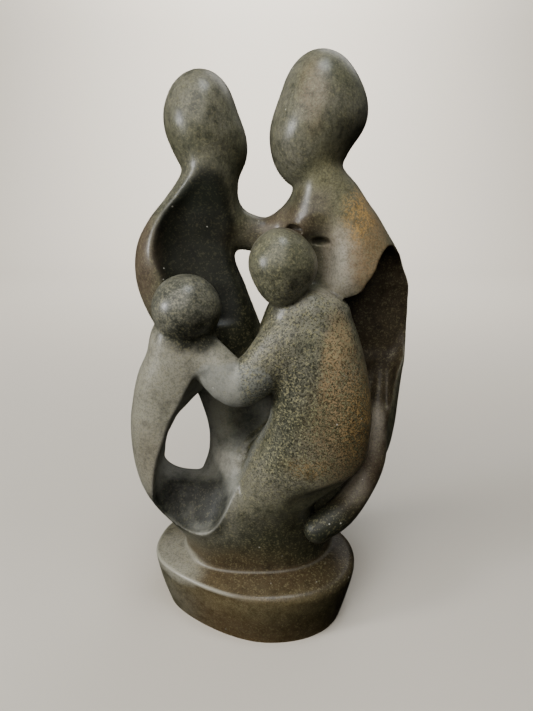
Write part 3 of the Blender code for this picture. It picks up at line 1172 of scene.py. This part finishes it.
    def _grain(self, at: Readings, colour: Socket) -> Socket:
        """Adds the fine dark grain and the yellow-green flecks, which are strongest on the right child.

        Args:
            at: What is read at each point.
            colour: The colour so far.

        Returns:
            The new colour.
        """
        tree, marks = at.tree, at.marks
        below_head = at.height.between(0.222, 0.196) * 0.7 + 0.3
        flank = marks[Mark.RIGHT_CHILD] * at.height.between(0.080, 0.125) * below_head
        strong = flank * 0.42 + 0.30 - marks[Mark.DISH] * 0.20 - marks[Mark.BOWL] * 0.14
        colour = tree.mix(at.grain.between(0.49, 0.56) * strong, colour, self.black)
        colour = tree.mix(at.fleck.between(0.55, 0.61) * strong * 0.8, colour, self.fleck)
        return tree.mix(at.mottle.between(0.45, 0.70) * 0.35, colour, self.dark, Blend.MULTIPLY)

    def _specks(self, at: Readings, colour: Socket) -> Socket:
        """Scatters a few tiny white specks.

        Args:
            at: What is read at each point.
            colour: The colour so far.

        Returns:
            The new colour.
        """
        tree = at.tree
        cells = tree.node(
            "ShaderNodeTexVoronoi",
            {"feature": "F1"},
            {"Vector": at.position, "Scale": self.specks_per_metre},
        )
        near = tree.signal(cells.outputs["Distance"]).between(0.18, 0.10)
        chosen = tree.node("ShaderNodeSeparateColor", None, {0: cells.outputs["Color"]}).outputs["Red"]
        return tree.mix(near * tree.signal(chosen).between(0.965, 0.975) * 0.7, colour, self.sugar)

    def _edges(self, at: Readings, colour: Socket) -> Socket:
        """Paints highlights pale along the crisp rims of the base and the bowl and along the foot line,
        brightest on the left, and paints shade dark into the creases.

        Args:
            at: What is read at each point.
            colour: The colour so far.

        Returns:
            The new colour.
        """
        tree, marks = at.tree, at.marks
        left = at.across.between(0.012, -0.030)
        low_down = at.height.between(0.080, 0.066)
        # Painted highlight on the crisp rims: strongest on the left of the base, weak on the lower rim of
        # the bowl
        painted_edge_highlight = marks[Mark.BASE] * (left * 0.75 + 0.10) + marks[Mark.BOWL] * low_down * 0.18
        colour = tree.mix(marks[Mark.RIDGE] * (at.grain * 0.5 + 0.75) * painted_edge_highlight, colour, self.pale)
        # Painted highlight along the foot line's lip, brightest on the left
        colour = tree.mix(marks[Mark.FOOT_LINE] * (left * 0.5 + 0.4), colour, self.pale)
        # Painted shade in the creases
        return tree.mix(marks[Mark.CREASE] * 0.55, colour, self.umber, Blend.MULTIPLY)

    def _roughness(self, at: Readings) -> Signal:
        """How matt the polish is: satin on the figures, duller in the hollows and creases."""
        marks = at.marks
        dull = marks[Mark.SHELL] * 0.18 + marks[Mark.DISH] * 0.20
        dull = dull + marks[Mark.CREASE] * 0.20 + marks[Mark.BOWL] * 0.22
        return (at.mottle * 0.16 + at.grain * 0.14 + dull + (self.roughness - 0.14)).lowest(0.9)


@dataclass
class HandPolish:
    """The Geometry Nodes tree that leaves the skin slightly uneven, as polishing by hand does."""

    name: str = "hand_polish"
    stand_clear: float = 0.002
    sockets: dict[PolishInput, str] = field(default_factory=dict)

    def tree(self) -> bpy.types.NodeTree:
        """Builds the tree. Points only move inwards, and none moves on the underside."""
        made = bpy.data.node_groups.new(self.name, "GeometryNodeTree")
        made.interface.new_socket("Geometry", in_out="INPUT", socket_type="NodeSocketGeometry")
        for item in PolishInput:
            label, kind, value = item.value
            socket = made.interface.new_socket(label, in_out="INPUT", socket_type=kind)
            if value is not None:
                socket.default_value = value
            self.sockets[item] = socket.identifier
        made.interface.new_socket("Geometry", in_out="OUTPUT", socket_type="NodeSocketGeometry")
        tree = NodeTree(made)
        given = tree.node("NodeGroupInput").outputs
        position = tree.node("GeometryNodeInputPosition").outputs[0]
        normal = tree.node("GeometryNodeInputNormal").outputs[0]
        seed = tree.signal(given["Seed"])
        waves, nicks = (
            tree.signal(tree.noise(position, tree.signal(given[label]), 2.0, 0.5, seed + shift).outputs[0])
            for label, shift in (("Wave Length", 0.0), ("Nick Length", 11.0))
        )
        depth = waves.between(0.25, 0.75) * tree.signal(given["Unevenness"])
        depth = depth + nicks.between(0.60, 0.78) * tree.signal(given["Nicks"])
        height = tree.signal(tree.node("ShaderNodeSeparateXYZ", None, {0: position}).outputs["Z"])
        depth = depth * (height / self.stand_clear).lowest(1.0).highest(0.0)
        inward = tree.node(
            "ShaderNodeVectorMath",
            {"operation": "SCALE"},
            {0: normal, "Scale": 0.0 - depth},
        )
        moved = tree.node(
            "GeometryNodeSetPosition",
            None,
            {"Geometry": given["Geometry"], "Offset": inward.outputs[0]},
        )
        real = tree.node("GeometryNodeRealizeInstances", None, {0: moved.outputs[0]})
        dressed = tree.node(
            "GeometryNodeSetMaterial",
            None,
            {"Geometry": real.outputs[0], "Material": given["Stone"]},
        )
        tree.node("NodeGroupOutput", None, {0: dressed.outputs[0]})
        return made

    def put_on(self, piece: bpy.types.Object, stone: bpy.types.Material) -> None:
        """Adds the tree to a piece as a modifier, with its inputs set.

        Args:
            piece: The piece.
            stone: The material that it is dressed in.
        """
        tree = self.tree()
        polish = piece.modifiers.new(self.name, "NODES")
        polish.node_group = tree
        for item in PolishInput:
            polish[self.sockets[item]] = stone if item is PolishInput.STONE else item.value[2]


@dataclass
class FamilyGroup:
    """The whole carving: one stone, laid out as a field and drawn as one mesh."""

    name: str = "family_group_carving"
    children: Children = field(default_factory=Children)
    parents: Parents = field(default_factory=Parents)
    base: PebbleBase = field(default_factory=PebbleBase)
    figure_height: float = 0.284
    maquette_top: float = 320.0
    maquette_foot: float = 36.0
    figures_right: float = 0.0074
    figures_back: float = 0.0014
    foot_sink: float = 0.012
    bowl_fillet: WideRound = WideRound((-20.0, 2.0, 97.0), (22.0, 14.0, 17.0), 16.0)
    parent_arm_join: float = 7.0
    parents_join: float = 6.0
    children_join: float = 2.5
    foot_round: float = 0.0008
    lip_height: float = 0.00045
    lip_width: float = 0.0009
    figure_border: float = 3.0
    base_border: float = 0.8
    dish_border: Span = (2.5, 0.3)
    shell_border: Span = (1.8, 0.2)
    bowl_border: Span = (2.0, 0.3)
    foot_line_width: float = 0.0008
    ridge_bend: Span = (200.0, 650.0)
    crease_bend: Span = (-150.0, -900.0)
    cell: float = 0.00096
    coarse_step: int = 4
    coarse_reach: float = 6.5
    band_cells: int = 4
    margin: float = 0.003
    sharp_edge: float = math.radians(60.0)
    most_triangles: int = 194000

    @property
    def unit(self) -> float:
        """One maquette unit in metres."""
        return self.figure_height / (self.maquette_top - self.maquette_foot)

    def placed(self, p: Points) -> Points:
        """Points in metres, as points of the maquette."""
        x, y, z = p
        return (
            (x - self.figures_right) / self.unit,
            (y - self.figures_back) / self.unit,
            (z - self.base.height) / self.unit + self.maquette_foot,
        )

    def figures(self, p: Points) -> Array:
        """Distances of maquette points p to the four figures and their foot."""
        kids, folk = self.children, self.parents
        tall = folk.tall(p)
        parents = joined(folk.low(p), folk.arm.distance(p), self.parent_arm_join)
        parents = joined(parents, tall, self.parents_join)
        group = joined(parents, kids.bodies(p), self.children_join + self.bowl_fillet.extra(p))
        group = np.minimum(group, folk.hooked(p, tall))
        for head in (folk.tall_head, folk.low_head, kids.right_head, kids.left_head):
            group = joined(group, head.distance(p), head.neck)
        return group

    def stone(self, p: Points) -> Array:
        """Distances of points p in metres to the whole block, with a fine lip along the foot line."""
        buried = self.base.height - self.foot_sink - p[2]
        carving = np.maximum(self.figures(self.placed(p)) * self.unit, buried)
        base = self.base.distance(p)
        lip = self.lip_height * np.exp(-(carving**2 + base**2) / self.lip_width**2)
        return joined(carving, base, self.foot_round) - lip

    def lattice(self) -> tuple[Array, tuple[Array, ...]]:
        """The sample points round the stone: the lowest corner, and the coordinates along each axis."""
        low, high = np.array(CAD_BOX[0]) - self.margin, np.array(CAD_BOX[1]) + self.margin
        step = self.coarse_step
        count = (np.ceil((high - low) / self.cell / step).astype(int) + 1) * step
        return low, tuple(low[i] + self.cell * np.arange(count[i]) for i in range(3))

    def samples(self, axes: tuple[Array, ...]) -> Array:
        """The field on the lattice, worked out finely only near the skin.

        Args:
            axes: The coordinates along each axis.

        Returns:
            The field's values, held to a few cells from the skin.
        """
        step = self.coarse_step
        wide = [a[::step] + (step - 1) / 2 * self.cell for a in axes]
        grid = np.meshgrid(*[a.astype(np.float32) for a in wide], indexing="ij")
        coarse = self.stone(tuple(g.ravel() for g in grid)).reshape(grid[0].shape)
        band = self.band_cells * self.cell
        values = np.where(coarse < 0, -band, band).astype(np.float32)
        for i in range(3):
            values = np.repeat(values, step, axis=i)
        near = np.abs(coarse) < self.coarse_reach * self.cell
        for i in range(3):
            near = np.repeat(near, step, axis=i)
        i, j, k = np.nonzero(near)
        at = (axes[0][i].astype(np.float32), axes[1][j].astype(np.float32), axes[2][k].astype(np.float32))
        values[i, j, k] = np.clip(self.stone(at), -band, band)
        return values

    def skin(self) -> tuple[Array, Array]:
        """Points and four-sided faces of the surface where the field is zero."""
        low, axes = self.lattice()
        volume = openvdb.FloatGrid(float(self.band_cells * self.cell))
        volume.copyFromArray(self.samples(axes))
        points, quads = volume.convertToQuads(0.0)
        return self.on_skin(points.astype(np.float64) * self.cell + low), quads

    def on_skin(self, points: Array) -> Array:
        """The points moved along the field's slope until they lie on the surface.

        Args:
            points: The points, close to it.

        Returns:
            The points on it.
        """
        small = 0.05 * self.cell
        for _ in range(2):
            p = tuple(points[:, i] for i in range(3))
            value = self.stone(p)
            slope = np.empty_like(points)
            for i in range(3):
                ahead = list(p)
                ahead[i] = p[i] + small
                slope[:, i] = (self.stone(tuple(ahead)) - value) / small
            steep = np.maximum((slope**2).sum(axis=1), 0.05)
            move = slope * (value / steep)[:, None]
            length = np.linalg.norm(move, axis=1, keepdims=True)
            points = points - move * np.minimum(1.0, 0.4 * self.cell / np.maximum(length, 1e-12))
        return points

    def rough_mesh(self) -> bpy.types.Mesh:
        """The skin as a closed mesh of triangles, sawn off flat where it stands."""
        points, quads = self.skin()
        mesh = bpy.data.meshes.new(self.name)
        mesh.from_pydata(points.tolist(), [], quads.tolist())
        shaped = bmesh.new()
        shaped.from_mesh(mesh)
        bmesh.ops.recalc_face_normals(shaped, faces=shaped.faces)
        whole = shaped.verts[:] + shaped.edges[:] + shaped.faces[:]
        cut = bmesh.ops.bisect_plane(
            shaped, geom=whole, plane_co=(0, 0, 0), plane_no=(0, 0, -1), clear_outer=True
        )
        rim = [e for e in cut["geom_cut"] if isinstance(e, bmesh.types.BMEdge)]
        bmesh.ops.contextual_create(shaped, geom=rim)
        bmesh.ops.triangulate(shaped, faces=shaped.faces)
        bmesh.ops.recalc_face_normals(shaped, faces=shaped.faces)
        shaped.to_mesh(mesh)
        shaped.free()
        return mesh

    def marks(self, points: Array) -> dict[Mark, Array]:
        """What each point is on.

        Args:
            points: The mesh's points.

        Returns:
            The share of each mark at each point.
        """
        p = tuple(points[:, i] for i in range(3))
        q = self.placed(p)
        kids, folk = self.children, self.parents
        owners = {
            Mark.LEFT_CHILD: np.minimum(kids.left_body.distance(q), kids.left_head.distance(q) - 0.5),
            Mark.RIGHT_CHILD: np.minimum(kids.right_body.distance(q), kids.right_head.distance(q)),
            Mark.LOW_PARENT: np.minimum(folk.low_body.distance(q), folk.low_head.distance(q)),
            Mark.TALL_PARENT: np.minimum(folk.hooked(q, folk.tall(q)), folk.tall_head.distance(q)),
            Mark.BASE: self.base.distance(p) / self.unit,
        }
        made = {}
        for mark, own in owners.items():
            others = np.min([v for k, v in owners.items() if k is not mark], axis=0)
            soft = self.base_border if mark is Mark.BASE else self.figure_border
            made[mark] = smooth_step(-soft, soft, others - own)
        made[Mark.DISH] = smooth_step(*self.dish_border, folk.dish.distance(q)) * made[Mark.LOW_PARENT]
        made[Mark.SHELL] = smooth_step(*self.shell_border, folk.shell.distance(q)) * made[Mark.TALL_PARENT]
        made[Mark.BOWL] = smooth_step(*self.bowl_border, kids.opening.distance(q))
        carving = self.figures(q) * self.unit
        base = self.base.distance(p)
        made[Mark.FOOT_LINE] = np.exp(-(carving**2 + base**2) / self.foot_line_width**2)
        bend = self.bend(p)
        made[Mark.RIDGE] = smooth_step(*self.ridge_bend, bend)
        made[Mark.CREASE] = smooth_step(*self.crease_bend, bend)
        return made

    def bend(self, p: Points, reach: float = 0.0011) -> Array:
        """How sharply the skin bends: positive on an edge, negative in a crease.

        Args:
            p: Points on it.
            reach: How far off the field is read.

        Returns:
            The bend, as one over a radius in metres.
        """
        total = -6.0 * self.stone(p)
        for i in range(3):
            for way in (-reach, reach):
                ahead = list(p)
                ahead[i] = p[i] + way
                total = total + self.stone(tuple(ahead))
        return total / reach**2

    def build(self, finish: SerpentineFinish) -> bpy.types.Object:
        """Makes the finished piece.

        Args:
            finish: What it is dressed in.

        Returns:
            The piece, a plain mesh in place.
        """
        rough = bpy.data.objects.new(self.name + "_rough", self.rough_mesh())
        bpy.context.scene.collection.objects.link(rough)
        fewer = rough.modifiers.new("fewer_faces", "DECIMATE")
        fewer.ratio = min(1.0, self.most_triangles / len(rough.data.polygons))
        HandPolish().put_on(rough, finish.material())
        scene_now = bpy.context.evaluated_depsgraph_get()
        mesh = bpy.data.meshes.new_from_object(rough.evaluated_get(scene_now))
        bpy.data.objects.remove(rough, do_unlink=True)
        mesh.name = self.name
        mesh.shade_smooth()
        mesh.set_sharp_from_angle(angle=self.sharp_edge)
        points = np.empty(len(mesh.vertices) * 3, np.float64)
        mesh.vertices.foreach_get("co", points)
        for mark, share in self.marks(points.reshape(-1, 3)).items():
            layer = mesh.attributes.new(mark.value, "FLOAT", "POINT")
            layer.data.foreach_set("value", np.clip(share, 0.0, 1.0).astype(np.float32))
        piece = bpy.data.objects.new(self.name, mesh)
        bpy.context.scene.collection.objects.link(piece)
        return piece


@dataclass(frozen=True)
class SoftLamp:
    """One soft light of the studio."""

    name: str
    place: Vec
    aim: Vec
    size: float
    power: float
    tint: Vec = (1.0, 1.0, 1.0)

    def build(self) -> bpy.types.Object:
        """Hangs the light."""
        data = bpy.data.lights.new(self.name, "AREA")
        data.shape = "DISK"
        data.size = self.size
        data.energy = self.power
        data.color = self.tint
        made = bpy.data.objects.new(self.name, data)
        made.location = self.place
        made.rotation_euler = (Vector(self.aim) - made.location).to_track_quat("-Z", "Y").to_euler()
        bpy.context.scene.collection.objects.link(made)
        return made


@dataclass
class Studio:
    """A plain pale floor that sweeps up behind, soft light, and the camera at the photograph's angle."""

    camera_place: Vec = (0.0074, -0.2906, 0.262)
    # The horizon is 180.5 picture rows above the middle, and the lens is 540 of its 711 rows long.
    camera_down: float = math.atan((355.5 - 175.0) / 540.0)
    camera_lens: float = 540.0 / 711.0 * 36.0
    floor_tint: Colour = stone_colour(226, 219, 207)
    floor_half: float = 3.0
    sweep_start: float = 1.2
    sweep_radius: float = 0.8
    wall_height: float = 3.0
    lamps: tuple[SoftLamp, ...] = (
        SoftLamp("key", (-0.40, -0.80, 0.98), (0.0, 0.0, 0.16), 1.50, 14.0, (1.0, 0.96, 0.89)),
        SoftLamp("window", (-1.00, -0.42, 0.40), (0.0, 0.0, 0.17), 0.24, 7.0, (0.98, 0.98, 0.98)),
        SoftLamp("ceiling", (0.10, -0.20, 1.30), (0.0, 0.0, 0.16), 0.40, 4.4, (0.92, 0.97, 1.0)),
        SoftLamp("backdrop", (0.0, 0.90, 1.50), (0.0, 2.0, 0.90), 0.90, 60.0, (1.0, 0.98, 0.94)),
        SoftLamp("fill_behind", (0.45, 0.72, 1.10), (0.0, 0.0, 0.12), 0.90, 2.8, (1.0, 0.98, 0.96)),
    )
    sky: Colour = stone_colour(236, 238, 240)
    ground: Colour = stone_colour(46, 42, 38)
    sky_strength: float = 0.11

    def floor(self) -> bpy.types.Object:
        """The floor and its sweep, as one plain sheet."""
        profile = [(-self.floor_half, 0.0), (self.sweep_start, 0.0)]
        steps = 16
        for i in range(1, steps + 1):
            turn = math.pi / 2 * i / steps
            profile.append(
                (
                    self.sweep_start + self.sweep_radius * math.sin(turn),
                    self.sweep_radius * (1 - math.cos(turn)),
                )
            )
        profile.append((self.sweep_start + self.sweep_radius, self.wall_height))
        points = [(x, y, z) for y, z in profile for x in (-self.floor_half, self.floor_half)]
        faces = [(2 * i, 2 * i + 1, 2 * i + 3, 2 * i + 2) for i in range(len(profile) - 1)]
        mesh = bpy.data.meshes.new("floor")
        mesh.from_pydata(points, [], faces)
        mesh.shade_smooth()
        material = bpy.data.materials.new("pale_floor")
        material.use_nodes = True
        tree = NodeTree(material.node_tree)
        shader = tree.node(
            "ShaderNodeBsdfPrincipled",
            None,
            {"Base Color": self.floor_tint, "Roughness": 0.8, "Specular IOR Level": 0.2},
        )
        tree.node("ShaderNodeOutputMaterial", None, {"Surface": shader.outputs["BSDF"]})
        mesh.materials.append(material)
        made = bpy.data.objects.new("floor", mesh)
        bpy.context.scene.collection.objects.link(made)
        made.visible_diffuse = False
        made.visible_glossy = False
        return made

    def world(self) -> None:
        """The dim light of the room: an even ceiling, and dark below as over a dark table."""
        world = bpy.data.worlds.new("room_light")
        world.use_nodes = True
        tree = NodeTree(world.node_tree)
        way = tree.node("ShaderNodeTexCoord").outputs["Generated"]
        rise = tree.signal(tree.node("ShaderNodeSeparateXYZ", None, {0: way}).outputs["Z"])
        colour = tree.mix(rise.between(-0.15, 0.45), self.ground, self.sky)
        light = tree.node("ShaderNodeBackground", None, {"Color": colour, "Strength": self.sky_strength})
        tree.node("ShaderNodeOutputWorld", None, {"Surface": light.outputs[0]})
        bpy.context.scene.world = world

    def camera(self) -> bpy.types.Object:
        """The camera at the photograph's place."""
        data = bpy.data.cameras.new("camera")
        data.sensor_width = 36.0
        data.lens = self.camera_lens
        data.clip_start = 0.01
        made = bpy.data.objects.new("camera", data)
        made.location = self.camera_place
        made.rotation_euler = (math.pi / 2 - self.camera_down, 0.0, 0.0)
        bpy.context.scene.collection.objects.link(made)
        bpy.context.scene.camera = made
        return made

    def build(self) -> None:
        """Sets up the floor, the light and the camera."""
        self.camera()
        self.floor()
        self.world()
        for lamp in self.lamps:
            lamp.build()


def main() -> None:
    """Builds the studio and the carving, and ties the carving to the frame."""
    logging.basicConfig(level=logging.INFO, format="%(name)s: %(message)s")
    Studio().build()
    finish = SerpentineFinish()
    piece = FamilyGroup().build(finish)
    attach(piece, "root")
    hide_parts("family_group")
    LOG.info("%s: %d faces", piece.name, len(piece.data.polygons))


if __name__ == "__main__":
    main()
